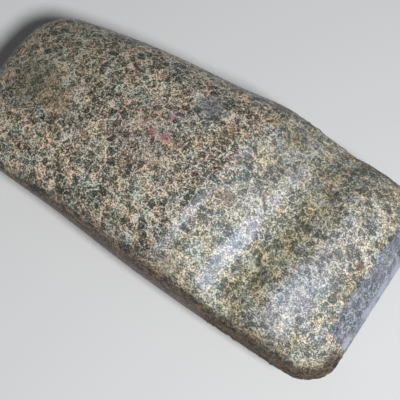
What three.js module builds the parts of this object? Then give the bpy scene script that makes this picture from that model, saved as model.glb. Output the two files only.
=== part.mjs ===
// Head of a grooved stone axe, pecked, ground and polished out of one cobble of speckled granitic
// stone. It lies loose on one face. Millimetres, +Z up. X runs from the cutting edge (-X) to the
// poll (+X), +Y is the grooved edge, and -Y is the plain back, which the groove leaves untouched.
// The origin is under the middle of the axe head, on the surface that it lies on.

import * as THREE from 'three';
import { mergeVertices } from 'three/addons/utils/BufferGeometryUtils.js';

// Overall size, and where the groove lies, as distances from the cutting edge.
const LENGTH = 187.2;
const SHOULDER_AT = 109;
const CREST_AT = 157;

// Half widths seen from above, each as [distance from the cutting edge, half width].
const GROOVED_EDGE = [
  [0, 25.1], [30, 32], [60, 37.1], [90, 40.9], [118, 44.9], [150, 44.3], [168, 43.7], [LENGTH, 41.6],
];
const PLAIN_BACK = [[0, 46.4], [50, 46], [SHOULDER_AT, 47.6], [CREST_AT, 46.6], [LENGTH, 45.3]];

// Half thickness over and under the plane of the cutting edge, on the blade and on the poll.
const UPPER_BLADE = 29;
const UPPER_POLL = 27.5;
const LOWER_FACE = 27.5;
const BLADE_BLUNTNESS = 0.62;
const UPPER_FULLNESS = 1.35;
const LOWER_FULLNESS = 1.7;

// Roundness of the sections: 2 is an ellipse, and a higher power is nearer to a rectangle.
const POWER_AT_EDGE = 2.2;
const POWER_GROOVED_SIDE = 2.5;
const POWER_BACK_OF_BLADE = 2.4;
const POWER_BACK_OF_POLL = 2.5;
const LENS_LENGTH = 60;

// The groove over both faces, as [distance from the cutting edge, share of its full depth]: a crease at
// the shoulder, a long slope down from the blade, and a short wall up to the poll. It runs a little
// askew, and it fades out at the grooved edge and before the back.
const GROOVE_DEPTH = 6.8;
const GROOVE_PROFILE = [
  [108, 0], [115, 0.12], [122, 0.29], [129, 0.58], [135, 0.92], [139, 1], [144, 0.76], [151, 0.2],
  [CREST_AT, 0], [LENGTH, 0],
];
const GROOVE_SKEW = 0.12;
const SKEW_PIVOT = -10;
const EDGE_FADE = 0.65;
const BACK_FADE_FROM = 0.7;

// Rounded corners of the outline, and how far the cutting edge bows forward.
const CORNER_EDGE_GROOVED = 13.6;
const CORNER_EDGE_BACK = 12.5;
const CORNER_POLL_GROOVED = 17;
const CORNER_POLL_BACK = 16;
const BOW = 6.6;
const BOW_HALF_WIDTH = 40;
const BOW_LENGTH = 60;

// The poll's faces fall away to its end in a long dome. Its flat end, which faces slightly aside, cuts
// the dome and the rounded corners short by these depths.
const DOME_LENGTH = 34;
const DOME_DROP = 27;
const DOME_CUT = 2.5;
const POLL_CUT = 1;
const POLL_SKEW = 0.027;

// The ground flats on the lower face, which keep the head from rocking where it lies.
const REST_FLAT_DEPTH = 0.9;

// How finely the surface is divided: sides round a section, and spans along the length. Points nearer
// than the last size are one, which closes the cutting edge to a line.
const SIDES = 76;
const SPANS = [
  { from: 0, to: 14, steps: 7, easing: 1.9 },
  { from: 14, to: SHOULDER_AT - 4, steps: 11, easing: 1 },
  { from: SHOULDER_AT - 4, to: CREST_AT + 2, steps: 15, easing: 1 },
  { from: CREST_AT + 2, to: LENGTH, steps: 12, easing: 0.75 },
];
const WELD_WITHIN = 1e-3;

function mix(a, b, share) {
  return a + (b - a) * share;
}

function eased(from, to, value) {
  return THREE.MathUtils.smoothstep(value, from, to);
}

// The slope of a smooth line at station i: flat at a turn, otherwise the two neighbouring slopes'
// harmonic mean, so that the line never overshoots its stations.
function slopeAt(stations, i) {
  const rise = (k) => (stations[k + 1][1] - stations[k][1]) / (stations[k + 1][0] - stations[k][0]);
  if (i === 0) return rise(0);
  if (i === stations.length - 1) return rise(i - 1);
  const before = rise(i - 1);
  const after = rise(i);
  return before * after <= 0 ? 0 : (2 * before * after) / (before + after);
}

// A smooth line through a few stations, read at one distance.
function along(stations, distance) {
  let i = 0;
  while (i < stations.length - 2 && distance > stations[i + 1][0]) i += 1;
  const [start, low] = stations[i];
  const [end, high] = stations[i + 1];
  const span = end - start;
  const s = THREE.MathUtils.clamp((distance - start) / span, 0, 1);
  const bend = (1 - s) * slopeAt(stations, i) * span * (1 - s) * s;
  const unbend = s * slopeAt(stations, i + 1) * span * (1 - s) * s;
  return mix(low, high, s * s * (3 - 2 * s)) + bend - unbend;
}

// How far a corner of this radius draws the outline in, at a distance from its end.
function cornerInset(radius, distance) {
  const left = THREE.MathUtils.clamp(1 - distance / radius, 0, 1);
  return radius * (1 - Math.sqrt(1 - left * left));
}

// The blade's thickness as a share of its full one: 0 at the cutting edge, 1 at the shoulder.
function bladeSwell(distance, fullness) {
  const share = Math.min(distance / SHOULDER_AT, 1);
  return 1 - (1 - share ** BLADE_BLUNTNESS) ** fullness;
}

// One point of the surface, at a distance from the cutting edge and an angle round the section:
// 0 is the grooved edge, a quarter turn is the upper face, and half a turn is the plain back.
function surfacePoint(distance, angle) {
  const across = Math.cos(angle);
  const upwards = Math.sin(angle);
  const toEnd = LENGTH - distance + POLL_CUT;
  const onPoll = eased(SHOULDER_AT, CREST_AT, distance);

  const grooved = along(GROOVED_EDGE, distance) - cornerInset(CORNER_EDGE_GROOVED, distance)
    - cornerInset(CORNER_POLL_GROOVED, toEnd);
  const back = along(PLAIN_BACK, distance) - cornerInset(CORNER_EDGE_BACK, distance)
    - cornerInset(CORNER_POLL_BACK, toEnd);
  const endInset = (DOME_DROP / DOME_LENGTH) * cornerInset(DOME_LENGTH, LENGTH - distance + DOME_CUT);
  const upper = mix(UPPER_BLADE, UPPER_POLL, onPoll) * bladeSwell(distance, UPPER_FULLNESS) - endInset;
  const lower = LOWER_FACE * bladeSwell(distance, LOWER_FULLNESS) - endInset;

  const backPower = mix(POWER_BACK_OF_BLADE, POWER_BACK_OF_POLL, onPoll);
  const fullPower = across > 0 ? POWER_GROOVED_SIDE : backPower;
  const power = mix(POWER_AT_EDGE, fullPower, eased(0, LENS_LENGTH, distance));
  const reach = (Math.abs(across) ** power + Math.abs(upwards) ** power) ** (-1 / power);
  const acrossShare = across * reach;
  const upShare = upwards * reach;
  const y = acrossShare * (across > 0 ? grooved : back);

  const onFace = eased(0, EDGE_FADE, Math.abs(upShare));
  const clearOfBack = 1 - eased(BACK_FADE_FROM, 1, -acrossShare);
  const alongGroove = distance - GROOVE_SKEW * (y - SKEW_PIVOT);
  const cut = GROOVE_DEPTH * along(GROOVE_PROFILE, alongGroove) * onFace * clearOfBack;
  const height = upShare * (upwards > 0 ? upper : lower) - Math.sign(upwards) * cut;

  const bow = BOW * (y / BOW_HALF_WIDTH) ** 2 * Math.max(1 - distance / BOW_LENGTH, 0) ** 2;
  const skew = POLL_SKEW * y * eased(CREST_AT, LENGTH, distance);
  const restingPlane = REST_FLAT_DEPTH - LOWER_FACE;
  return new THREE.Vector3(distance + bow - skew, y, Math.max(height, restingPlane) - restingPlane);
}

// Distances of the sections from the cutting edge, closest where the form turns fastest.
function sectionDistances() {
  const distances = [0];
  for (const { from, to, steps, easing } of SPANS) {
    for (let i = 1; i <= steps; i += 1) {
      distances.push(mix(from, to, (i / steps) ** easing));
    }
  }
  return distances;
}

// Skins the sections from the cutting edge, where the first one closes to a line, to the poll's
// flat end, which a fan of triangles closes.
function skin(distances) {
  const points = [];
  for (const distance of distances) {
    for (let side = 0; side < SIDES; side += 1) {
      points.push(surfacePoint(distance, (side / SIDES) * Math.PI * 2));
    }
  }
  const lastRing = (distances.length - 1) * SIDES;
  const endRing = points.slice(lastRing);
  const middle = new THREE.Box3().setFromPoints(endRing).getCenter(new THREE.Vector3());
  points.push(middle);

  const faces = [];
  for (let side = 0; side < SIDES; side += 1) {
    const next = (side + 1) % SIDES;
    for (let ring = 0; ring < lastRing; ring += SIDES) {
      faces.push(ring + side, ring + next, ring + SIDES + side);
      faces.push(ring + next, ring + SIDES + next, ring + SIDES + side);
    }
    faces.push(lastRing + side, lastRing + next, points.length - 1);
  }
  const geometry = new THREE.BufferGeometry().setFromPoints(points);
  geometry.setIndex(faces);
  const closed = mergeVertices(geometry, WELD_WITHIN);
  closed.computeBoundingBox();
  const centre = closed.boundingBox.getCenter(new THREE.Vector3());
  closed.translate(-centre.x, -centre.y, 0);
  closed.computeVertexNormals();
  return closed;
}

const speckledStone = new THREE.MeshStandardMaterial({ color: 0x83806f, roughness: 0.5, metalness: 0 });

const axeHead = new THREE.Mesh(skin(sectionDistances()), speckledStone);
axeHead.name = 'axe_head';

const groovedAxe = new THREE.Group();
groovedAxe.add(axeHead);

export default groovedAxe;
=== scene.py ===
"""Head of a grooved stone axe, pecked, ground and polished out of speckled diorite, lying on one face.

The head is one closed mesh in metres, in the frame of the solid that it stands for: +X runs from the
cutting edge to the poll, +Y is the grooved edge, -Y the plain back and +Z up.
"""

import math
from types import SimpleNamespace

import bmesh
import bpy
import numpy as np
from mathutils import Matrix, Vector


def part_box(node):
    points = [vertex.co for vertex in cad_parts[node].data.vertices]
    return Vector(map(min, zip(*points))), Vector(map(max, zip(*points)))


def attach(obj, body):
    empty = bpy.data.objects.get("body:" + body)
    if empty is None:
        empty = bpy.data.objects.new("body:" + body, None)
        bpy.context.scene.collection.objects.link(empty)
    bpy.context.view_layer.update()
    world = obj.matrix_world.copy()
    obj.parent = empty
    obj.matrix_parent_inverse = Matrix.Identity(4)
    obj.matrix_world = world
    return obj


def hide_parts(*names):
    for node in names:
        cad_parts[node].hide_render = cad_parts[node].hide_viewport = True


bl_info = {
    "name": "Grooved Stone Axe Head",
    "version": (1, 0, 0),
    "blender": (4, 5, 0),
    "location": "3D View > Sidebar > Stone Axe",
    "description": "Builds the head of a grooved stone axe and a plain studio for it",
    "category": "Add Mesh",
}

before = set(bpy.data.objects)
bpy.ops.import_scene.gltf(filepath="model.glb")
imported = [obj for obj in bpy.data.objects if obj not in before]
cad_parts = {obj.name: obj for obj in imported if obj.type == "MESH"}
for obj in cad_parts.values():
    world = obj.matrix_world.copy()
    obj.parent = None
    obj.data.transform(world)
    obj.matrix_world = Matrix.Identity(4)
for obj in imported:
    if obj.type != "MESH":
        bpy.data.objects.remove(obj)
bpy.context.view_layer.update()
HEAD_LOW, HEAD_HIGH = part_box("axe_head")
HEAD_MIDDLE = Vector((0, 0, HEAD_HIGH[2] / 2))

PIECE = "axe_head_stone"
MM = 0.001

# The form, in millimetres. Distances run from the cutting edge towards the poll.
LENGTH = 187.2
SHOULDER_AT = 109.0
CREST_AT = 157.0

# Half widths seen from above, each as (distance from the cutting edge, half width).
GROOVED_EDGE = (
    (0, 25.1), (30, 32), (60, 37.1), (90, 40.9), (118, 44.9), (150, 44.3), (168, 43.7), (LENGTH, 41.6),
)
PLAIN_BACK = ((0, 46.4), (50, 46), (SHOULDER_AT, 47.6), (CREST_AT, 46.6), (LENGTH, 45.3))

# Half thickness over and under the plane of the cutting edge, on the blade and on the poll.
UPPER_BLADE = 29.0
UPPER_POLL = 27.5
LOWER_FACE = 27.5
BLADE_BLUNTNESS = 0.62
UPPER_FULLNESS = 1.35
LOWER_FULLNESS = 1.7

# Roundness of the sections: 2 is an ellipse, and a higher power is nearer to a rectangle.
POWER_AT_EDGE = 2.2
POWER_GROOVED_SIDE = 2.5
POWER_BACK_OF_BLADE = 2.4
POWER_BACK_OF_POLL = 2.5
LENS_LENGTH = 60.0

# The groove's slope down from the blade and its short wall up to the poll, as (distance from the
# cutting edge, share of the full depth), and how it runs askew and fades out at both edges.
GROOVE_DEPTH = 6.8
GROOVE_PROFILE = (
    (108, 0), (115, 0.12), (122, 0.29), (129, 0.58), (135, 0.92), (139, 1), (144, 0.76), (151, 0.2),
    (CREST_AT, 0), (LENGTH, 0),
)
GROOVE_SKEW = 0.12
SKEW_PIVOT = -10.0
EDGE_FADE = 0.65
BACK_FADE_FROM = 0.7

# Rounded corners of the outline, and how far the cutting edge bows forward.
CORNER_EDGE_GROOVED = 13.6
CORNER_EDGE_BACK = 12.5
CORNER_POLL_GROOVED = 17.0
CORNER_POLL_BACK = 16.0
BOW = 6.6
BOW_HALF_WIDTH = 40.0
BOW_LENGTH = 60.0

# The poll's faces fall away in a long dome. Its flat end, which faces slightly aside, cuts the dome and
# the rounded corners short.
DOME_LENGTH = 34.0
DOME_DROP = 27.0
DOME_CUT = 2.5
POLL_CUT = 1.0
POLL_SKEW = 0.027

# The depth of the ground flats on the lower face, which keep the head from rocking.
REST_FLAT_DEPTH = 0.9

# How finely the head is divided: points round a section, spans along the length as (from, to, steps,
# easing), and rings from the poll's rim to the line in the middle of its end.
AROUND = 400
SPANS = (
    (0.0, 14.0, 30, 1.7),
    (14.0, SHOULDER_AT - 4, 88, 1.0),
    (SHOULDER_AT - 4, CREST_AT + 2, 62, 1.0),
    (CREST_AT + 2, LENGTH, 44, 0.85),
)
END_RINGS = 14
END_LINE_HALF = 21.0
UV_MARGIN = 0.004

# Points nearer than the first size, in metres, are one. Points lower than the second one, in
# millimetres, lie on what the head rests on.
WELD_WITHIN = 1e-6
TOUCHES_BELOW = 1e-3

# Pecking: the levels of noise on top of a ridge and at the bottom of a pit, how far both lie under the
# surface as shares of the pecking's depth, and the shares of it that polishing left and wear took away.
PIT_NOISE = (0.3, 0.7)
RIDGE_TO_PIT = (-0.4, 0.6)
PECKS_LEFT_BY_POLISH = 0.1
WORN_PECKING = 0.6

# Where the finish changes, in millimetres along and across the head. Polish ends over the shoulder, and
# the poll's end is polished and gets a painted lavender reflection up to a line short of the plain back.
# The painted reflection is weak on that end's border and stronger on its flat.
POLISH_FADE = (SHOULDER_AT - 3, SHOULDER_AT + 5)
POLISHED_END_FROM = 177.5
POLISHED_END_BACK_EDGE = -25.5
POLISHED_END_BLUR = 2.0
END_FLAT_FADE = (LENGTH - 3, LENGTH - 2)
REFLECTION_ON_BORDER = 0.24
REFLECTION_ON_END = 0.62

# The back's side gets painted shade and is handled rougher where it is steep, 1 being upright. It stays
# smooth for a way past the shoulder, and the painted shade reaches higher at the poll's corner. All the
# steep sides get painted shade too.
BACK_SIDE_EDGE = -26.0
BACK_SIDE_BLUR = 4.0
BACK_SIDE_STEEPNESS = (0.74, 0.97)
HANDLED_POLISH_PAST = 28.0
CORNER_FROM = 174.0
CORNER_REACH = 0.1
SIDE_STEEPNESS = (0.66, 0.94)

# Where haft and binding have worn the stone smooth, at the shoulder, the foot of the groove's slope and
# the poll's crest, which also get a painted bluish sheen, and where soil has stained the groove, each as
# (millimetres, share) along the head and across it.
WEAR_AND_SHEEN_ALONG = (
    (0, 0), (105, 0), (109, 0.72), (114, 0), (123, 0), (131, 1), (138, 0), (152, 0), (158, 0.66),
    (168, 0.58), (175, 0), (LENGTH, 0),
)
WEAR_AND_SHEEN_ACROSS = ((-60, 0), (-45, 0), (-36, 1), (-14, 1), (-4, 0.6), (22, 0.55), (32, 0), (60, 0))
SOIL_ALONG = ((0, 0), (113, 0), (120, 0.3), (133, 0.3), (141, 1), (150, 0.9), (156, 0), (LENGTH, 0))
SOIL_ACROSS = ((-60, 1), (0, 1), (24, 0.3), (60, 0.3))

# The finishes that the stone's material reads from the mesh's points; some of them carry painted sheen,
# reflection and shade.
FINISHES = ("polish", "haze", "film", "handled", "haft_wear", "soil", "side")

# How the minerals are drawn. Noise frays the outlines by the first share of a cluster's width, and the
# web between clusters is the second one wide. Specks and threads are measured in widths of a grain,
# and drifts of the mix in widths of a cluster. Threads and blotches fade between two levels of noise.
FRAYING = 1.1
WEB_WIDTH = 0.2
SPECK_WIDTH = 0.8
THREAD_WIDTH = 2.4
THREAD_NOISE = (0.0, 0.09)
DRIFT_WIDTH = 1.8
BLOTCH_NOISE = (0.4, 0.58)

# How much each pattern adds to the stone's paleness, and how pale each mineral is.
PALENESS_OFFSET = -0.58
CLUSTER_PALENESS = 0.2
GRAIN_PALENESS = 0.22
WEB_PALENESS = 0.2
SPECK_PALENESS = 1.4
BLOTCH_PALENESS = 0.11
THREAD_PALENESS = 0.12
DARK_AT = 0.26
GREY_AT = 0.45
BUFF_AT = 0.6
CREAM_AT = 0.82

# The stone's layers, which show on its sides: how many there are to a millimetre along, across and up
# the head, and how strongly they show.
LAYER_SCALES = (0.2, 0.2, 0.8)
LAYER_CONTRAST = 0.8

# The tints of leached and of iron-stained patches on polished and on pecked stone, the noise that leads
# from one to the other, and how far the tint of a patch and of a grain wanders in red, green and blue.
LEACHED_TINT = (0.91, 0.98, 1.0, 1.0)
STAINED_TINT = (1.08, 1.01, 0.9, 1.0)
LEACHED_PECKED_TINT = (0.9, 0.96, 1.08, 1.0)
STAINED_PECKED_TINT = (1.05, 1.03, 0.85, 1.0)
PATCH_NOISE = (0.36, 0.64)
PATCH_TINT_SPREAD = (0.36, 0.12, 0.24)
GRAIN_TINT_SPREAD = (0.2, 0.08, 0.14)

# Stains on the upper face, and among them a painted bluish reflection on the poll's crest, painted shade
# on the groove's grooved side and a painted glint at the shoulder: place and radius in millimetres, colour
# and strength. A stain fades from a share of its radius outwards, and pale grains take more of it than dark
# ones do.
STAINS = (
    ((80.7, 2.0, 50.0), 2.2, "#7c4228", 0.9),
    # Painted bluish reflection over the poll's crest, darkening it towards blue.
    ((64.0, -13.0, 51.0), 22.0, "#1c2740", 0.1),
    ((-73.0, -9.5, 38.0), 17.0, "#41331a", 0.34),
    ((-70.0, 14.0, 40.0), 44.0, "#6f6d3a", 0.14),
    ((-57.3, -11.0, 45.0), 8.0, "#9a7a58", 0.35),
    ((-41.3, -16.0, 48.0), 3.0, "#b08358", 0.45),
    ((-18.0, -1.5, 53.0), 24.0, "#98766c", 0.14),
    ((-22.6, 1.5, 53.0), 3.2, "#a8707c", 0.45),
    ((-17.4, -0.8, 53.0), 3.2, "#a8606c", 0.45),
    ((-14.2, 9.0, 53.0), 2.4, "#b07480", 0.45),
    ((-11.3, 0.1, 53.0), 3.4, "#a86470", 0.42),
    ((8.6, 15.8, 54.0), 5.0, "#b08a66", 0.35),
    ((19.3, 31.3, 48.0), 5.0, "#b08a66", 0.4),
    ((18.0, -40.0, 44.0), 6.0, "#a08468", 0.4),
    ((-4.3, 22.0, 52.0), 9.0, "#5b6070", 0.45),
    ((17.7, 41.5, 42.0), 6.0, "#4a4a49", 0.6),
    # Painted shade over the groove's slope on the grooved side.
    ((36.0, 28.0, 47.0), 21.0, "#1c1d18", 0.17),
    ((22.5, -6.5, 54.0), 4.0, "#a8825f", 0.45),
    # Painted pale glint at the shoulder.
    ((18.5, 13.0, 54.0), 4.0, "#a9acbb", 0.35),
)
STAIN_CORE = 0.3
STAINED_PALENESS = (0.3, 0.65)
STAIN_TAKEN = (0.3, 1.3)

# What the finish does to the colour: bruising where it is pecked, a painted bluish sheen where it is
# worn, a tint where it is soiled, painted shade on the steep sides and a painted lavender reflection on the
# poll's end, and the share of the painted sheen's own colour.
BRUISED_GAIN = (1.06, 1.09, 1.07, 1.0)
BRUISED_SHARE = 0.1
PAINTED_SHEEN_SHARE = 0.16
PAINTED_SHEEN_TINT = (1.1, 1.12, 1.22, 1.0)
SOIL_TINT = (1.01, 1.0, 0.88, 1.0)
PAINTED_SIDE_SHADE = (0.83, 0.81, 0.75, 1.0)
PAINTED_REFLECTION_TINT = (0.58, 0.67, 0.88, 1.0)

# Noise, this many times over, is added to the wear with its painted sheen and to the painted reflection
# before they are cut off between two levels, which makes their borders ragged. The painted reflection's
# strength follows the patches' noise.
BORDER_NOISE = 1.4
WEAR_AND_SHEEN_LEVELS = (0.95, 1.6)
REFLECTION_LEVELS = (1.05, 1.35)
REFLECTION_NOISE = (0.38, 0.6)
REFLECTION_STRENGTHS = (0.35, 1.4)

# Roughness of the smoothest pecked grain, and what a grain's chance, polish, wear and handling add.
PECKED_ROUGHNESS = 0.46
ROUGHER_GRAIN = 0.16
ROUGHER_POLISHED = -0.16
ROUGHER_WORN = -0.24
ROUGHER_HANDLED = 0.12

# How high single grains stand, in millimetres, and a grain's own share in it beside the specks.
PECKED_GRAIN = 0.24
POLISHED_GRAIN = 0.06
GRAIN_STEP = 0.5

# The lights: their directions as shares of the camera's right, up and backward directions, and their
# distances and diameters in metres.
KEY_TOWARDS = (0.3, -0.16, 0.94)
KEY_DISTANCE = 0.9
KEY_DIAMETER = 0.22
FILL_TOWARDS = (0.0, 0.5, 1.0)
FILL_DISTANCE = 1.4
FILL_DIAMETER = 1.0

# The camera's sensor in millimetres, and the picture's side and the pixel that shows the head's middle.
SENSOR_WIDTH = 36.0
PICTURE_SIDE = 400
MIDDLE_PIXEL = (188.8, 172.9)


def linear(hex_colour):
    """An sRGB hex colour as linear red, green, blue and alpha."""
    parts = [int(hex_colour[i:i + 2], 16) / 255 for i in (1, 3, 5)]
    return tuple(c / 12.92 if c <= 0.04045 else ((c + 0.055) / 1.055) ** 2.4 for c in parts) + (1.0,)


def mix(a, b, share):
    return a + (b - a) * share


def eased(low, high, value):
    """0 below the first value and 1 above the second, with a soft step between them."""
    share = np.clip((value - low) / (high - low), 0, 1)
    return share * share * (3 - 2 * share)


def along(stations, distance):
    """A smooth line through a few stations, which never overshoots them."""
    places, values = (np.array(part, dtype=float) for part in zip(*stations))
    rises = np.diff(values) / np.diff(places)
    slopes = np.zeros(len(places))
    slopes[0], slopes[-1] = rises[0], rises[-1]
    for i in range(1, len(places) - 1):
        before, after = rises[i - 1], rises[i]
        if before * after > 0:
            slopes[i] = 2 * before * after / (before + after)
    i = np.clip(np.searchsorted(places, distance) - 1, 0, len(places) - 2)
    span = places[i + 1] - places[i]
    share = np.clip((distance - places[i]) / span, 0, 1)
    bulge = span * (1 - share) * share
    level = mix(values[i], values[i + 1], share * share * (3 - 2 * share))
    return level + (1 - share) * slopes[i] * bulge - share * slopes[i + 1] * bulge


def corner_inset(radius, distance):
    """How far a corner of this radius draws the outline in, at a distance from its end."""
    left = np.clip(1 - distance / radius, 0, 1)
    return radius * (1 - np.sqrt(1 - left * left))


def blade_swell(distance, fullness):
    """The blade's thickness as a share of its full one: 0 at the cutting edge, 1 at the shoulder."""
    share = np.minimum(distance / SHOULDER_AT, 1)
    return 1 - (1 - share ** BLADE_BLUNTNESS) ** fullness


def surface(distance, angle, groove):
    """Points in millimetres, and the distance along the skewed groove, for grids of both inputs."""
    across, upwards = np.cos(angle), np.sin(angle)
    to_end = LENGTH - distance + POLL_CUT
    on_poll = eased(SHOULDER_AT, CREST_AT, distance)

    grooved = along(GROOVED_EDGE, distance) - corner_inset(CORNER_EDGE_GROOVED, distance)
    grooved = grooved - corner_inset(CORNER_POLL_GROOVED, to_end)
    back = along(PLAIN_BACK, distance) - corner_inset(CORNER_EDGE_BACK, distance)
    back = back - corner_inset(CORNER_POLL_BACK, to_end)
    end_inset = DOME_DROP / DOME_LENGTH * corner_inset(DOME_LENGTH, LENGTH - distance + DOME_CUT)
    upper = mix(UPPER_BLADE, UPPER_POLL, on_poll) * blade_swell(distance, UPPER_FULLNESS) - end_inset
    lower = LOWER_FACE * blade_swell(distance, LOWER_FULLNESS) - end_inset

    back_power = mix(POWER_BACK_OF_BLADE, POWER_BACK_OF_POLL, on_poll)
    full_power = np.where(across > 0, POWER_GROOVED_SIDE, back_power)
    power = mix(POWER_AT_EDGE, full_power, eased(0, LENS_LENGTH, distance))
    reach = (np.abs(across) ** power + np.abs(upwards) ** power) ** (-1 / power)
    across_share, up_share = across * reach, upwards * reach
    y = across_share * np.where(across > 0, grooved, back)

    on_face = eased(0, EDGE_FADE, np.abs(up_share))
    clear_of_back = 1 - eased(BACK_FADE_FROM, 1, -across_share)
    along_groove = distance - GROOVE_SKEW * (y - SKEW_PIVOT)
    cut = groove * along(GROOVE_PROFILE, along_groove) * on_face * clear_of_back
    height = up_share * np.where(upwards > 0, upper, lower) - np.sign(upwards) * cut

    bow = BOW * (y / BOW_HALF_WIDTH) ** 2 * np.maximum(1 - distance / BOW_LENGTH, 0) ** 2
    skew = POLL_SKEW * y * eased(CREST_AT, LENGTH, distance)
    resting_plane = REST_FLAT_DEPTH - LOWER_FACE
    z = np.maximum(height, resting_plane) - resting_plane
    return np.stack([distance + bow - skew, y, z], axis=-1), along_groove


def section_distances():
    """Distances of the sections from the cutting edge, closest where the form turns fastest."""
    distances = [0.0]
    for start, end, steps, easing in SPANS:
        distances += [mix(start, end, (i / steps) ** easing) for i in range(1, steps + 1)]
    return np.array(distances)


def head_grid(groove):
    """Rings of points from the cutting edge to the middle of the poll's end, in millimetres.

    Each ring starts and ends under the head, where the UV map has its seam. The second result is
    every point's distance along the skewed groove.
    """
    angles = np.linspace(-0.5 * math.pi, 1.5 * math.pi, AROUND, endpoint=False)
    angle, distance = np.meshgrid(angles, section_distances())
    points, along_groove = surface(distance, angle, groove)

    last = points[-1]
    heart = last.copy()
    heart[:, 1] = np.clip(last[:, 1], -END_LINE_HALF, END_LINE_HALF)
    heart[:, 2] = last[:, 2].mean()
    heart[:, 0] = LENGTH - POLL_SKEW * heart[:, 1]
    shares = np.linspace(0, 1, END_RINGS + 1)[1:]
    end = np.stack([mix(last, heart, share) for share in shares])
    end_along = np.repeat(along_groove[-1:], END_RINGS, axis=0)
    return np.concatenate([points, end]), np.concatenate([along_groove, end_along])


class AxeHeadSettings(bpy.types.PropertyGroup):
    """Sizes and colours of the stone head."""

    groove_depth: bpy.props.FloatProperty(
        name="Groove Depth", description="How deep the hafting groove is cut into the faces",
        default=GROOVE_DEPTH * MM, min=0.0, max=0.012, unit="LENGTH", precision=4,
    )
    peck_size: bpy.props.FloatProperty(
        name="Peck Size", description="Width of one pit left by the hammerstone",
        default=2.0 * MM, min=0.0005, max=0.01, unit="LENGTH", precision=4,
    )
    peck_depth: bpy.props.FloatProperty(
        name="Peck Depth", description="Depth of the pits on the groove and the poll",
        default=0.8 * MM, min=0.0, max=0.002, unit="LENGTH", precision=5,
    )
    hollow_size: bpy.props.FloatProperty(
        name="Hollow Size", description="Distance between the slight hollows left by grinding",
        default=19.0 * MM, min=0.005, max=0.08, unit="LENGTH", precision=4,
    )
    hollow_depth: bpy.props.FloatProperty(
        name="Hollow Depth", description="Depth of the slight hollows left by grinding",
        default=0.5 * MM, min=0.0, max=0.003, unit="LENGTH", precision=5,
    )
    grain_size: bpy.props.FloatProperty(
        name="Grain Size", description="Width of one mineral grain",
        default=0.72 * MM, min=0.0003, max=0.005, unit="LENGTH", precision=5,
    )
    cluster_size: bpy.props.FloatProperty(
        name="Cluster Size", description="Width of one cluster of dark grains",
        default=3.3 * MM, min=0.001, max=0.02, unit="LENGTH", precision=4,
    )
    patch_size: bpy.props.FloatProperty(
        name="Patch Size", description="Width of one patch of stained or leached stone",
        default=7.0 * MM, min=0.003, max=0.05, unit="LENGTH", precision=4,
    )
    dark_mineral: bpy.props.FloatVectorProperty(
        name="Dark Mineral", description="Hornblende and mica in the dark clusters",
        default=linear("#34332b"), size=4, subtype="COLOR", min=0.0, max=1.0,
    )
    grey_mineral: bpy.props.FloatVectorProperty(
        name="Grey Mineral", description="Altered grey-green grains",
        default=linear("#68655a"), size=4, subtype="COLOR", min=0.0, max=1.0,
    )
    buff_mineral: bpy.props.FloatVectorProperty(
        name="Buff Mineral", description="Stained feldspar",
        default=linear("#9b907f"), size=4, subtype="COLOR", min=0.0, max=1.0,
    )
    cream_mineral: bpy.props.FloatVectorProperty(
        name="Cream Mineral", description="Clean pale feldspar",
        default=linear("#ded5c4"), size=4, subtype="COLOR", min=0.0, max=1.0,
    )
    bruised_stone: bpy.props.FloatVectorProperty(
        name="Bruised Stone", description="Crushed grains in the pecked surface",
        default=linear("#b6b7ac"), size=4, subtype="COLOR", min=0.0, max=1.0,
    )
    # The bluish white of the worn stone is a painted sheen, mixed in where haft and binding wore it.
    painted_sheen_colour: bpy.props.FloatVectorProperty(
        name="Worn Stone", description="Bluish film where haft and binding rubbed the stone",
        default=linear("#dde1ee"), size=4, subtype="COLOR", min=0.0, max=1.0,
    )
    # The lavender grey is a painted reflection on the polished end of the poll.
    painted_reflection_colour: bpy.props.FloatVectorProperty(
        name="Haze", description="Lavender haze on the polished end of the poll",
        default=linear("#a3a7b6"), size=4, subtype="COLOR", min=0.0, max=1.0,
    )
    # This darkening of the plain back's side is painted shade.
    painted_shade_colour: bpy.props.FloatVectorProperty(
        name="Handled Back", description="How dark handling has made the plain back's side",
        default=linear("#a08c76"), size=4, subtype="COLOR", min=0.0, max=1.0,
    )
    seed: bpy.props.IntProperty(
        name="Seed", description="Changes the run of the pecking and of the ground hollows",
        default=7, min=0, max=1000,
    )


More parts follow.
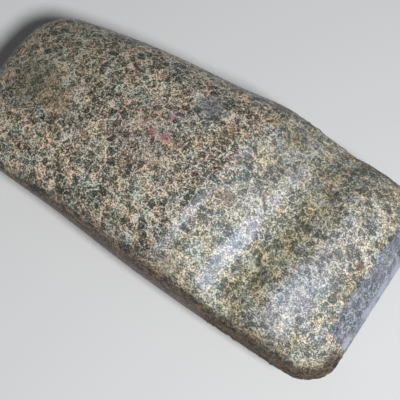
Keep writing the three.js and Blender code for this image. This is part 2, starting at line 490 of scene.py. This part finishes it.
class AxeStageSettings(bpy.types.PropertyGroup):
    """Floor, lights and camera of the plain studio."""

    floor_colour: bpy.props.FloatVectorProperty(
        name="Floor Colour", description="Pale matt studio floor",
        default=linear("#d2d1ce"), size=4, subtype="COLOR", min=0.0, max=1.0,
    )
    floor_width: bpy.props.FloatProperty(
        name="Floor Width", description="Width of the square floor", default=6.0, min=1.0, unit="LENGTH",
    )
    key_power: bpy.props.FloatProperty(
        name="Key Power", description="Strength of the main soft light", default=9.4, min=0.0, unit="POWER",
    )
    key_colour: bpy.props.FloatVectorProperty(
        name="Key Colour", description="Colour of the main soft light",
        default=linear("#f8faff"), size=4, subtype="COLOR", min=0.0, max=1.0,
    )
    fill_power: bpy.props.FloatProperty(
        name="Fill Power", description="Strength of the broad weak light", default=0.6, min=0.0, unit="POWER",
    )
    fill_colour: bpy.props.FloatVectorProperty(
        name="Fill Colour", description="Colour of the broad weak light",
        default=linear("#f3f6ff"), size=4, subtype="COLOR", min=0.0, max=1.0,
    )
    sky_strength: bpy.props.FloatProperty(
        name="Sky Strength", description="Strength of the even light all round", default=0.08, min=0.0,
    )
    sky_colour: bpy.props.FloatVectorProperty(
        name="Sky Colour", description="Colour of the even light all round",
        default=linear("#f4f6fb"), size=4, subtype="COLOR", min=0.0, max=1.0,
    )
    azimuth: bpy.props.FloatProperty(
        name="Camera Azimuth", description="Turn of the camera round the head, from looking along +Y",
        default=math.radians(36.4), subtype="ANGLE",
    )
    elevation: bpy.props.FloatProperty(
        name="Camera Elevation", description="Height of the camera over the horizon",
        default=math.radians(71.94), subtype="ANGLE",
    )
    roll: bpy.props.FloatProperty(
        name="Camera Roll", description="Turn of the camera about its own line of sight",
        default=math.radians(-0.71), subtype="ANGLE",
    )
    camera_distance: bpy.props.FloatProperty(
        name="Camera Distance", description="From the middle of the head to the camera",
        default=0.4634, min=0.1, unit="LENGTH",
    )
    pixels_per_mm: bpy.props.FloatProperty(
        name="Pixels per Millimetre", description="Scale of the picture at the middle of the head",
        default=2.397, min=0.1,
    )


def add_node(tree, kind, inputs=(), stops=(), **settings):
    """Adds a node, sets it up, and sets or links its inputs, given by name or number or in their order.

    An input takes a plain value, a socket, or a node, which stands for the output that it has in use.
    The stops are those of a colour ramp, each as (place, colour).
    """
    made = tree.nodes.new(kind)
    for name, value in settings.items():
        setattr(made, name, value)
    named = inputs if isinstance(inputs, dict) else dict(enumerate(inputs))
    for name, value in named.items():
        if isinstance(value, bpy.types.Node):
            value = next(socket for socket in value.outputs if socket.enabled)
        if isinstance(value, bpy.types.NodeSocket):
            tree.links.new(value, made.inputs[name])
        else:
            made.inputs[name].default_value = value
    if stops:
        ramp = made.color_ramp
        while len(ramp.elements) < len(stops):
            ramp.elements.new(1.0)
        for element, (place, colour) in zip(ramp.elements, stops):
            element.position = place
            element.color = colour
    return made


def relief_tree(material):
    """Pits left by the hammerstone and slight hollows left by grinding, both cut into the surface."""
    tree = bpy.data.node_groups.new("pecked_and_ground_relief", "GeometryNodeTree")
    interface = tree.interface
    interface.new_socket("Geometry", in_out="INPUT", socket_type="NodeSocketGeometry")
    for name in ("Peck Size", "Peck Depth", "Hollow Size", "Hollow Depth"):
        interface.new_socket(name, in_out="INPUT", socket_type="NodeSocketFloat")
    interface.new_socket("Seed", in_out="INPUT", socket_type="NodeSocketInt")
    interface.new_socket("Geometry", in_out="OUTPUT", socket_type="NodeSocketGeometry")

    given = add_node(tree, "NodeGroupInput").outputs
    place = add_node(tree, "GeometryNodeInputPosition")
    peck_scale = add_node(tree, "ShaderNodeMath", (1.0, given["Peck Size"]), operation="DIVIDE")
    pits = add_node(tree, "ShaderNodeTexNoise", {
        "Vector": place, "W": given["Seed"], "Scale": peck_scale, "Detail": 1.5, "Roughness": 0.6,
    }, noise_dimensions="4D")
    hollow_scale = add_node(tree, "ShaderNodeMath", (1.0, given["Hollow Size"]), operation="DIVIDE")
    hollows = add_node(tree, "ShaderNodeTexNoise", {
        "Vector": place, "W": given["Seed"], "Scale": hollow_scale, "Detail": 1.0, "Roughness": 0.45,
    }, noise_dimensions="4D")

    # Polish and wear leave only a share of the pecking, but all of the hollows.
    polish = add_node(tree, "GeometryNodeInputNamedAttribute", {"Name": "polish"})
    haft_wear = add_node(tree, "GeometryNodeInputNamedAttribute", {"Name": "haft_wear"})
    pecked = add_node(tree, "ShaderNodeMath", (polish, PECKS_LEFT_BY_POLISH - 1, 1.0),
                      operation="MULTIPLY_ADD")
    unworn = add_node(tree, "ShaderNodeMath", (haft_wear, -WORN_PECKING, 1.0), operation="MULTIPLY_ADD")
    pecked = add_node(tree, "ShaderNodeMath", (pecked, unworn), operation="MULTIPLY")
    pit = add_node(tree, "ShaderNodeMapRange", (pits, *PIT_NOISE, *RIDGE_TO_PIT))
    hollow = add_node(tree, "ShaderNodeMath", (hollows, 0.5), operation="SUBTRACT")
    cut = 0.0
    for depth, share, shape in ((given["Peck Depth"], pecked, pit), (given["Hollow Depth"], 1.0, hollow)):
        depth = add_node(tree, "ShaderNodeMath", (depth, share), operation="MULTIPLY")
        cut = add_node(tree, "ShaderNodeMath", (shape, depth, cut), operation="MULTIPLY_ADD")
    normal = add_node(tree, "GeometryNodeInputNormal")
    outwards = add_node(tree, "ShaderNodeVectorMath", {0: normal, "Scale": cut}, operation="SCALE")
    inwards = add_node(tree, "ShaderNodeVectorMath", {0: outwards, "Scale": -1.0}, operation="SCALE")
    worked = add_node(tree, "GeometryNodeSetPosition", {"Geometry": given["Geometry"], "Offset": inwards})

    # The ground flats under the head stay flat, and nothing reaches below them.
    resting = add_node(tree, "GeometryNodeInputNamedAttribute", {"Name": "rest_flat"})
    on_flat = add_node(tree, "ShaderNodeMath", (resting, 0.5), operation="GREATER_THAN")
    level = add_node(tree, "ShaderNodeVectorMath", (place, (1.0, 1.0, 0.0)), operation="MULTIPLY")
    flattened = add_node(tree, "GeometryNodeSetPosition",
                         {"Geometry": worked, "Selection": on_flat, "Position": level})
    above = add_node(tree, "ShaderNodeVectorMath", (place, (-1.0, -1.0, 0.0)), operation="MAXIMUM")
    clear = add_node(tree, "GeometryNodeSetPosition", {"Geometry": flattened, "Position": above})
    real = add_node(tree, "GeometryNodeRealizeInstances", (clear,))
    finish = add_node(tree, "GeometryNodeSetMaterial", {"Geometry": real, "Material": material})
    add_node(tree, "NodeGroupOutput", (finish,))
    return tree


def mineral_patterns(tree, settings):
    """Places on the stone in millimetres, and the patterns of its minerals, by name.

    The frayed places are pushed about by noise, so outlines that are drawn on them come out ragged.
    """
    grain, cluster, patch = settings.grain_size / MM, settings.cluster_size / MM, settings.patch_size / MM
    place = add_node(tree, "ShaderNodeTexCoord").outputs["Object"]
    stone = add_node(tree, "ShaderNodeVectorMath", {0: place, "Scale": 1 / MM}, operation="SCALE")
    push = add_node(tree, "ShaderNodeTexNoise", {
        "Vector": stone, "Scale": 1 / cluster, "Detail": 4.0, "Roughness": 0.6,
    }).outputs["Color"]
    push = add_node(tree, "ShaderNodeVectorMath", (push, (0.5, 0.5, 0.5)), operation="SUBTRACT")
    frayed = add_node(tree, "ShaderNodeVectorMath", (push, (FRAYING * cluster,) * 3, stone),
                      operation="MULTIPLY_ADD")

    grains = add_node(tree, "ShaderNodeTexVoronoi", {"Vector": frayed, "Scale": 1 / grain})
    clusters = add_node(tree, "ShaderNodeTexVoronoi", {"Vector": frayed, "Scale": 1 / cluster})
    layers = add_node(tree, "ShaderNodeVectorMath", (stone, LAYER_SCALES), operation="MULTIPLY")
    return SimpleNamespace(
        frayed=frayed,
        grain_tints=grains.outputs["Color"],
        grain_chances=add_node(tree, "ShaderNodeSeparateColor", (grains.outputs["Color"],)).outputs,
        cluster_chances=add_node(tree, "ShaderNodeSeparateColor", (clusters.outputs["Color"],)).outputs,
        cluster_rims=add_node(tree, "ShaderNodeTexVoronoi", {"Vector": frayed, "Scale": 1 / cluster},
                              feature="DISTANCE_TO_EDGE"),
        specks=add_node(tree, "ShaderNodeTexNoise", {"Vector": stone, "Scale": 1 / (SPECK_WIDTH * grain)}),
        threads=add_node(tree, "ShaderNodeTexNoise", {"Vector": stone, "Scale": 1 / (THREAD_WIDTH * grain)}),
        drift=add_node(tree, "ShaderNodeTexNoise", {"Vector": frayed, "Scale": 1 / (DRIFT_WIDTH * cluster)}),
        patches=add_node(tree, "ShaderNodeTexNoise", {"Vector": stone, "Scale": 1 / patch, "Detail": 3.0}),
        layers=add_node(tree, "ShaderNodeTexNoise", {"Vector": layers, "Scale": 1.0, "Detail": 2.0}),
    )


def stone_paleness(tree, pattern, side):
    """How pale the stone is, as the sum of what its patterns add.

    Each cluster and each grain has its own chance. The web between the clusters, specks and threads as
    fine as the render shows, slow drifts of the mix and the layers on the sides come on top of it.
    """
    web = add_node(tree, "ShaderNodeMapRange", (pattern.cluster_rims, 0.0, WEB_WIDTH, 1.0, 0.0),
                   interpolation_type="SMOOTHSTEP")
    blotches = add_node(tree, "ShaderNodeMapRange", (pattern.drift, *BLOTCH_NOISE),
                        interpolation_type="SMOOTHSTEP")
    threads = add_node(tree, "ShaderNodeMath", (pattern.threads, 0.5), operation="SUBTRACT")
    threads = add_node(tree, "ShaderNodeMath", (threads,), operation="ABSOLUTE")
    threads = add_node(tree, "ShaderNodeMapRange", (threads, *THREAD_NOISE, 1.0, 0.0))
    layers = add_node(tree, "ShaderNodeMath", (pattern.layers, 0.5), operation="SUBTRACT")
    layers = add_node(tree, "ShaderNodeMath", (layers, side), operation="MULTIPLY")
    pale = PALENESS_OFFSET
    for source, weight in (
        (pattern.cluster_chances["Red"], CLUSTER_PALENESS),
        (pattern.grain_chances["Red"], GRAIN_PALENESS),
        (web, WEB_PALENESS),
        (pattern.specks, SPECK_PALENESS),
        (blotches, BLOTCH_PALENESS),
        (threads, THREAD_PALENESS),
        (layers, LAYER_CONTRAST),
    ):
        pale = add_node(tree, "ShaderNodeMath", (source, weight, pale), operation="MULTIPLY_ADD")
    return pale


def mineral_colour(tree, settings, pattern, polish, pale):
    """The minerals' own colours, tinted by leached and stained patches, with single stains, a painted sheen,
    a painted shade and a painted glint on them.
    """
    colour = add_node(tree, "ShaderNodeValToRGB", (pale,), stops=(
        (DARK_AT, settings.dark_mineral),
        (GREY_AT, settings.grey_mineral),
        (BUFF_AT, settings.buff_mineral),
        (CREAM_AT, settings.cream_mineral),
    ))
    stained_share = add_node(tree, "ShaderNodeMapRange", (pattern.patches, *PATCH_NOISE))
    polished, pecked = (
        add_node(tree, "ShaderNodeMix", {0: stained_share, 6: leached, 7: stained}, data_type="RGBA")
        for leached, stained in ((LEACHED_TINT, STAINED_TINT), (LEACHED_PECKED_TINT, STAINED_PECKED_TINT))
    )
    tints = [add_node(tree, "ShaderNodeMix", {0: polish, 6: pecked, 7: polished}, data_type="RGBA")]
    for wandering, spreads in ((pattern.patches.outputs["Color"], PATCH_TINT_SPREAD),
                               (pattern.grain_tints, GRAIN_TINT_SPREAD)):
        least = [1 - spread / 2 for spread in spreads]
        tints.append(add_node(tree, "ShaderNodeVectorMath", (wandering, spreads, least),
                              operation="MULTIPLY_ADD"))
    for tint in tints:
        colour = add_node(tree, "ShaderNodeMix", {0: 1.0, 6: colour, 7: tint}, data_type="RGBA",
                          blend_type="MULTIPLY")

    taken = add_node(tree, "ShaderNodeMapRange", (pale, *STAINED_PALENESS, *STAIN_TAKEN))
    for spot, radius, stain, strength in STAINS:
        away = add_node(tree, "ShaderNodeVectorMath", (pattern.frayed, spot), operation="DISTANCE")
        share = add_node(tree, "ShaderNodeMapRange",
                         (away.outputs["Value"], STAIN_CORE * radius, radius, strength, 0.0),
                         interpolation_type="SMOOTHSTEP")
        share = add_node(tree, "ShaderNodeMath", (share, taken), operation="MULTIPLY")
        colour = add_node(tree, "ShaderNodeMix", {0: share, 6: colour, 7: linear(stain)}, data_type="RGBA")
    return colour


def ragged_share(tree, share, noise, levels, easing):
    """A share of the surface, with noise added and then cut off between two levels."""
    ragged = add_node(tree, "ShaderNodeMath", (noise, BORDER_NOISE, share), operation="MULTIPLY_ADD")
    return add_node(tree, "ShaderNodeMapRange", (ragged, *levels), interpolation_type=easing)


def finished_colour(tree, settings, pattern, finish, wear_and_sheen, colour):
    """The minerals' colour as pecking and soil have left it, with painted sheen, painted shade and a painted
    reflection on it.
    """
    bruised = add_node(tree, "ShaderNodeMix", {0: 1.0, 6: colour, 7: BRUISED_GAIN}, data_type="RGBA",
                       blend_type="MULTIPLY")
    bruised = add_node(tree, "ShaderNodeMix", {0: BRUISED_SHARE, 6: bruised, 7: settings.bruised_stone},
                       data_type="RGBA")
    colour = add_node(tree, "ShaderNodeMix", {0: finish.polish, 6: bruised, 7: colour}, data_type="RGBA")

    # The worn bands get a painted bluish sheen: a pale bluish colour mixed in, and a bluish tint.
    painted_sheen = add_node(tree, "ShaderNodeMath", (wear_and_sheen, PAINTED_SHEEN_SHARE), operation="MULTIPLY")
    haze = ragged_share(tree, finish.haze, pattern.drift, REFLECTION_LEVELS, "LINEAR")
    film = add_node(tree, "ShaderNodeMapRange", (pattern.patches, *REFLECTION_NOISE, *REFLECTION_STRENGTHS))
    for share in (finish.film, haze):
        film = add_node(tree, "ShaderNodeMath", (film, share), operation="MULTIPLY")
    # The painted sheen, the soil's tint, the painted shade on the sides, the painted reflection and the
    # painted shade on the plain back's side, one after the other.
    for blend, share, coat in (
        ("MIX", painted_sheen, settings.painted_sheen_colour),
        ("MULTIPLY", wear_and_sheen, PAINTED_SHEEN_TINT),
        ("MULTIPLY", finish.soil, SOIL_TINT),
        ("MULTIPLY", finish.side, PAINTED_SIDE_SHADE),
        ("MULTIPLY", haze, PAINTED_REFLECTION_TINT),
        ("MIX", film, settings.painted_reflection_colour),
        ("MULTIPLY", finish.handled, settings.painted_shade_colour),
    ):
        colour = add_node(tree, "ShaderNodeMix", {0: share, 6: colour, 7: coat}, data_type="RGBA",
                          blend_type=blend)
    return colour


def speckled_diorite(settings):
    """Speckled diorite, a granitic rock, pecked with a hammerstone and then ground and polished.

    The eye sees dark clusters of hornblende in a crisp web of buff feldspar. Where it is only pecked
    the stone is bruised paler and duller. Haft and binding have rubbed glossy bands into it, which get a
    painted bluish sheen, and soil has yellowed the groove. The polished end of the poll gets a painted
    lavender-grey reflection, and the plain back's side and the other steep sides are darkened with painted
    shade. The light glints bluish on all of it.
    """
    material = bpy.data.materials.new("speckled_diorite")
    material.use_nodes = True
    tree = material.node_tree
    tree.nodes.clear()
    finish = SimpleNamespace(**{
        name: add_node(tree, "ShaderNodeAttribute", attribute_name=name).outputs["Fac"]
        for name in FINISHES
    })
    pattern = mineral_patterns(tree, settings)
    pale = stone_paleness(tree, pattern, finish.side)
    colour = mineral_colour(tree, settings, pattern, finish.polish, pale)
    # Where the stone is worn it is smoother, and it carries a painted bluish sheen.
    wear_and_sheen = ragged_share(tree, finish.haft_wear, pattern.patches, WEAR_AND_SHEEN_LEVELS, "SMOOTHSTEP")
    colour = finished_colour(tree, settings, pattern, finish, wear_and_sheen, colour)

    rough = PECKED_ROUGHNESS
    for share, change in (
        (pattern.grain_chances["Green"], ROUGHER_GRAIN),
        (finish.polish, ROUGHER_POLISHED),
        (wear_and_sheen, ROUGHER_WORN),
        (finish.handled, ROUGHER_HANDLED),
    ):
        rough = add_node(tree, "ShaderNodeMath", (share, change, rough), operation="MULTIPLY_ADD")
    height = add_node(tree, "ShaderNodeMath", (pattern.grain_chances["Blue"], GRAIN_STEP, pattern.specks),
                      operation="MULTIPLY_ADD")
    depth = add_node(tree, "ShaderNodeMath",
                     (finish.polish, (POLISHED_GRAIN - PECKED_GRAIN) * MM, PECKED_GRAIN * MM),
                     operation="MULTIPLY_ADD")
    bump = add_node(tree, "ShaderNodeBump", {"Height": height, "Distance": depth, "Strength": 1.0})
    shader = add_node(tree, "ShaderNodeBsdfPrincipled", {
        "Base Color": colour, "Roughness": rough, "IOR": 1.55, "Specular IOR Level": 0.5,
        "Specular Tint": linear("#d4e2ff"), "Normal": bump,
    })
    add_node(tree, "ShaderNodeOutputMaterial", {"Surface": shader})
    return material


def finish_on_points(grid, along_groove):
    """How the stone is finished at each point of the grid, as shares from 0 to 1 by name."""
    lengthways = np.gradient(grid, axis=0)
    roundways = np.roll(grid, -1, axis=1) - np.roll(grid, 1, axis=1)
    normal = np.cross(roundways, lengthways)
    normal /= np.maximum(np.linalg.norm(normal, axis=-1, keepdims=True), 1e-9)
    steepness = np.hypot(normal[..., 0], normal[..., 1])
    distance = grid[..., 0] + LENGTH / 2
    y = grid[..., 1]

    # The plain back's steep side gets painted shade, and is handled rougher and polished further.
    reach = CORNER_REACH * eased(CORNER_FROM, LENGTH, distance)
    handled = eased(*BACK_SIDE_STEEPNESS, steepness + reach)
    handled = handled * eased(BACK_SIDE_EDGE, BACK_SIDE_EDGE - BACK_SIDE_BLUR, y)
    blade = 1 - eased(*POLISH_FADE, along_groove - HANDLED_POLISH_PAST * handled)
    # The poll's end is polished and gets a painted lavender reflection.
    poll_end = eased(POLISHED_END_FROM - POLISHED_END_BLUR, POLISHED_END_FROM + POLISHED_END_BLUR, distance)
    poll_end = poll_end * eased(POLISHED_END_BACK_EDGE - POLISHED_END_BLUR, POLISHED_END_BACK_EDGE + POLISHED_END_BLUR, y)
    return {
        "polish": np.maximum(blade, poll_end),
        "haze": poll_end,
        "film": mix(REFLECTION_ON_BORDER, REFLECTION_ON_END, eased(*END_FLAT_FADE, distance)),
        "handled": handled * (1 - poll_end),
        # Worn smooth by haft and binding, and painted with a bluish sheen there.
        "haft_wear": along(WEAR_AND_SHEEN_ALONG, along_groove) * along(WEAR_AND_SHEEN_ACROSS, y),
        "soil": along(SOIL_ALONG, along_groove) * along(SOIL_ACROSS, y),
        # Steep sides, which get painted shade and show the stone's layers.
        "side": eased(*SIDE_STEEPNESS, steepness),
        "rest_flat": (grid[..., 2] < TOUCHES_BELOW).astype(float),
    }


def head_mesh(groove):
    """The head's fine closed mesh, with its UV map and, on its points, how each part is finished."""
    grid, along_groove = head_grid(groove)
    rings, around = grid.shape[:2]
    middle = (grid.min(axis=(0, 1)) + grid.max(axis=(0, 1))) / 2
    wanted = (np.array(HEAD_LOW) + np.array(HEAD_HIGH)) / 2 / MM
    grid = grid + (wanted - middle) * (1, 1, 0)

    ring, side = np.divmod(np.arange((rings - 1) * around), around)
    corners = ((0, 0), (0, 1), (1, 1), (1, 0))
    quads = np.stack([(ring + r) * around + (side + s) % around for r, s in corners], axis=-1)
    mesh = bpy.data.meshes.new(PIECE)
    mesh.from_pydata((grid.reshape(-1, 3) * MM).tolist(), [], quads.tolist())
    mesh.polygons.foreach_set("use_smooth", np.ones(len(quads), dtype=bool))

    # The map unrolls the head round its length, with the seam underneath.
    steps = np.linalg.norm(np.diff(grid, axis=0), axis=-1).max(axis=1)
    lengthwise = np.concatenate([[0.0], np.cumsum(steps)]) / steps.sum()
    unrolled = np.stack([
        np.stack([lengthwise[ring + r], (side + s) / around], axis=-1) for r, s in corners
    ], axis=1)
    layer = mesh.uv_layers.new(name="OFBake")
    layer.data.foreach_set("uv", (UV_MARGIN + unrolled * (1 - 2 * UV_MARGIN)).ravel())
    for name, shares in finish_on_points(grid, along_groove).items():
        mesh.attributes.new(name, "FLOAT", "POINT").data.foreach_set("value", shares.ravel())

    # The cutting edge and the middle of the poll's end are lines, where upper and lower points meet.
    welded = bmesh.new()
    welded.from_mesh(mesh)
    bmesh.ops.remove_doubles(welded, verts=welded.verts, dist=WELD_WITHIN)
    welded.to_mesh(mesh)
    welded.free()
    return mesh


def link_object(name, data):
    """A new object in the scene that shows the given mesh, light or camera."""
    made = bpy.data.objects.new(name, data)
    bpy.context.scene.collection.objects.link(made)
    return made


def apply_relief(piece, settings, material):
    """Runs the relief's node tree on the piece and keeps its result as a plain mesh."""
    tree = relief_tree(material)
    modifier = piece.modifiers.new("relief", "NODES")
    modifier.node_group = tree
    values = {
        "Peck Size": settings.peck_size, "Peck Depth": settings.peck_depth,
        "Hollow Size": settings.hollow_size, "Hollow Depth": settings.hollow_depth, "Seed": settings.seed,
    }
    for socket in tree.interface.items_tree:
        if socket.in_out == "INPUT" and socket.name in values:
            modifier[socket.identifier] = values[socket.name]
    evaluated = piece.evaluated_get(bpy.context.evaluated_depsgraph_get())
    piece.data = bpy.data.meshes.new_from_object(evaluated)
    piece.modifiers.remove(modifier)


class AXE_OT_stone_head(bpy.types.Operator):
    """Builds the stone head in place of its plain solid"""

    bl_idname = "axe.stone_head"
    bl_label = "Stone Head"

    def execute(self, context):
        settings = context.scene.axe_head
        piece = link_object(PIECE, head_mesh(settings.groove_depth / MM))
        apply_relief(piece, settings, speckled_diorite(settings))
        if len(piece.data.polygons) == 0:
            raise RuntimeError("the relief left the stone head without faces")
        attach(piece, "root")
        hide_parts("axe_head")
        return {"FINISHED"}


def camera_axes(stage):
    """The camera's right, up and backward directions."""
    turn, rise, roll = stage.azimuth, stage.elevation, stage.roll
    back = Vector((math.sin(turn) * math.cos(rise), -math.cos(turn) * math.cos(rise), math.sin(rise)))
    right = Vector((math.cos(turn), math.sin(turn), 0))
    up = back.cross(right)
    return (
        right * math.cos(roll) + up * math.sin(roll),
        up * math.cos(roll) - right * math.sin(roll),
        back,
    )


def add_floor(colour, width):
    """A flat square floor of matt paint, which isn't part of the axe."""
    half = width / 2
    mesh = bpy.data.meshes.new("studio_floor")
    mesh.from_pydata([(-half, -half, 0), (half, -half, 0), (half, half, 0), (-half, half, 0)], [],
                     [(0, 1, 2, 3)])
    paint = bpy.data.materials.new("matt_floor_paint")
    paint.use_nodes = True
    shader = paint.node_tree.nodes["Principled BSDF"]
    shader.inputs["Base Color"].default_value = colour
    shader.inputs["Roughness"].default_value = 0.9
    mesh.materials.append(paint)
    link_object("studio_floor", mesh)


def add_soft_light(name, axes, shares, distance, diameter, power, colour):
    """A round soft light, which shines on the head from shares of the camera's directions."""
    towards = Vector()
    for axis, share in zip(axes, shares):
        towards += axis * share
    light = bpy.data.lights.new(name, "AREA")
    light.shape = "DISK"
    light.size = diameter
    light.energy = power
    light.color = colour[:3]
    lamp = link_object(name, light)
    lamp.location = HEAD_MIDDLE + towards.normalized() * distance
    lamp.rotation_euler = towards.to_track_quat("Z", "Y").to_euler()


def add_sky(colour, strength):
    """Weak even light from all round."""
    world = bpy.data.worlds.new("studio_sky")
    world.use_nodes = True
    sky = world.node_tree.nodes["Background"]
    sky.inputs["Color"].default_value = colour
    sky.inputs["Strength"].default_value = strength
    bpy.context.scene.world = world


def add_camera(stage, right, up, back):
    """The camera that frames the head as the picture does, shifted so that its middle falls right."""
    lens = bpy.data.cameras.new("photo_camera")
    lens.sensor_width = SENSOR_WIDTH
    lens.lens = stage.pixels_per_mm * stage.camera_distance / MM / PICTURE_SIDE * SENSOR_WIDTH
    lens.shift_x = 0.5 - MIDDLE_PIXEL[0] / PICTURE_SIDE
    lens.shift_y = MIDDLE_PIXEL[1] / PICTURE_SIDE - 0.5
    lens.clip_start = 0.01
    camera = link_object("photo_camera", lens)
    place = Matrix.Translation(HEAD_MIDDLE + back * stage.camera_distance)
    camera.matrix_world = place @ Matrix((right, up, back)).transposed().to_4x4()
    bpy.context.scene.camera = camera


class AXE_OT_studio(bpy.types.Operator):
    """Adds the plain floor, the soft lights and the camera"""

    bl_idname = "axe.studio"
    bl_label = "Studio"

    def execute(self, context):
        stage = context.scene.axe_stage
        axes = camera_axes(stage)
        add_floor(stage.floor_colour, stage.floor_width)
        add_sky(stage.sky_colour, stage.sky_strength)
        add_soft_light("key_light", axes, KEY_TOWARDS, KEY_DISTANCE, KEY_DIAMETER, stage.key_power,
                       stage.key_colour)
        add_soft_light("fill_light", axes, FILL_TOWARDS, FILL_DISTANCE, FILL_DIAMETER, stage.fill_power,
                       stage.fill_colour)
        add_camera(stage, *axes)
        context.scene.view_settings.view_transform = "Standard"
        return {"FINISHED"}


class AXE_PT_panel(bpy.types.Panel):
    """Lists the axe head's parts and their sizes"""

    bl_idname = "AXE_PT_panel"
    bl_label = "Stone Axe"
    bl_space_type = "VIEW_3D"
    bl_region_type = "UI"
    bl_category = "Stone Axe"

    def draw(self, context):
        scene = context.scene
        for operator, settings in ((AXE_OT_stone_head, scene.axe_head), (AXE_OT_studio, scene.axe_stage)):
            box = self.layout.box()
            box.operator(operator.bl_idname)
            for name in settings.__annotations__:
                box.prop(settings, name)


CLASSES = (AxeHeadSettings, AxeStageSettings, AXE_OT_stone_head, AXE_OT_studio, AXE_PT_panel)


def register():
    for cls in CLASSES:
        bpy.utils.register_class(cls)
    bpy.types.Scene.axe_head = bpy.props.PointerProperty(type=AxeHeadSettings)
    bpy.types.Scene.axe_stage = bpy.props.PointerProperty(type=AxeStageSettings)


def unregister():
    del bpy.types.Scene.axe_stage
    del bpy.types.Scene.axe_head
    for cls in reversed(CLASSES):
        bpy.utils.unregister_class(cls)


def main():
    register()
    bpy.ops.axe.stone_head()
    bpy.ops.axe.studio()


if __name__ == "__main__":
    main()
